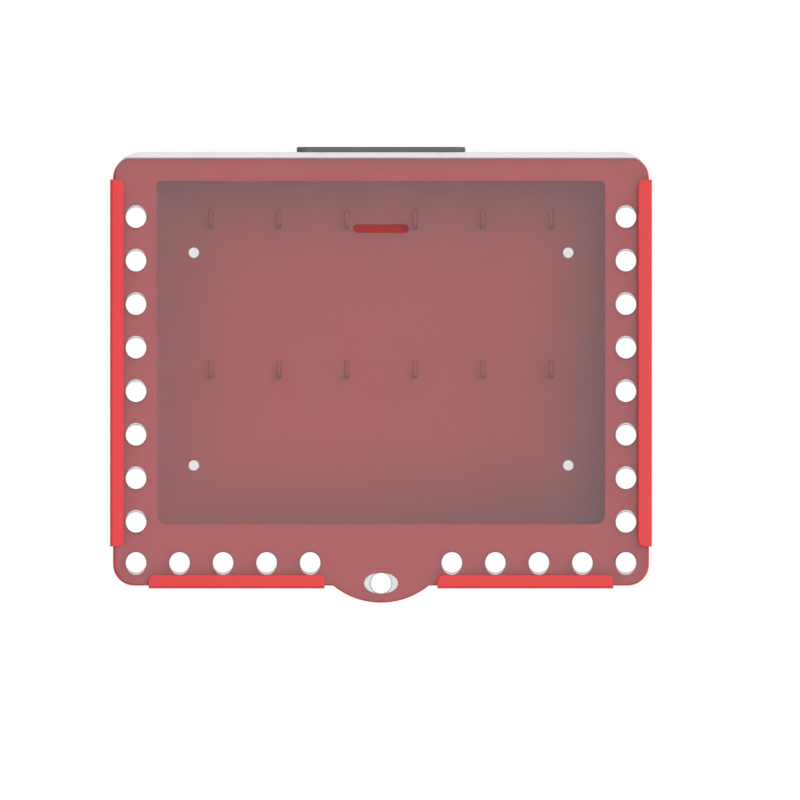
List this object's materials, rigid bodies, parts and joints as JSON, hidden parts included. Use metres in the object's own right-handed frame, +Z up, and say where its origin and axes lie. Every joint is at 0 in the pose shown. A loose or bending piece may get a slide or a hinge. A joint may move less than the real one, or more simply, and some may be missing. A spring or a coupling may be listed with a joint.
{
  "type": "group lockout box",
  "caption": "Wall-mounted red steel group lockout box with a clear sliding cover, rows of padlock holes, a key slot, a main lock tongue and wire key hooks inside.",
  "frame": {"origin": "on the back wall's outer face, in the middle of the four wall holes", "axes": "+Z up, +X to the viewer's right when facing the cover, +Y into the wall, so the front faces -Y"},
  "size_m": [0.3174, 0.0659, 0.2671],
  "materials": {
    "red_powder_coat": "satin red powder coat on sheet steel",
    "clear_sheet": "clear polycarbonate sheet with a light grey tint, polished",
    "black_nylon": "black moulded nylon, satin",
    "zinc_plate": "zinc-plated steel"
  },
  "bodies": {
    "case": {"front_frame": "red_powder_coat", "back_box": "red_powder_coat", "hook_1_1": "red_powder_coat", "hook_1_2": "red_powder_coat", "hook_1_3": "red_powder_coat", "hook_1_4": "red_powder_coat", "hook_1_5": "red_powder_coat", "hook_1_6": "red_powder_coat", "hook_2_1": "red_powder_coat", "hook_2_2": "red_powder_coat", "hook_2_3": "red_powder_coat", "hook_2_4": "red_powder_coat", "hook_2_5": "red_powder_coat", "hook_2_6": "red_powder_coat"},
    "cover": {"cover_panel": "clear_sheet", "grip_plate": "black_nylon", "grip_screw_left": "zinc_plate", "grip_washer_left": "zinc_plate", "grip_nut_left": "zinc_plate", "grip_screw_right": "zinc_plate", "grip_washer_right": "zinc_plate", "grip_nut_right": "zinc_plate"}
  },
  "joints": [
    {"name": "cover_slide", "type": "slide", "parent": "case", "child": "cover", "axis": [0, 0, 1], "range_m": [0, 0.265]}
  ]
}
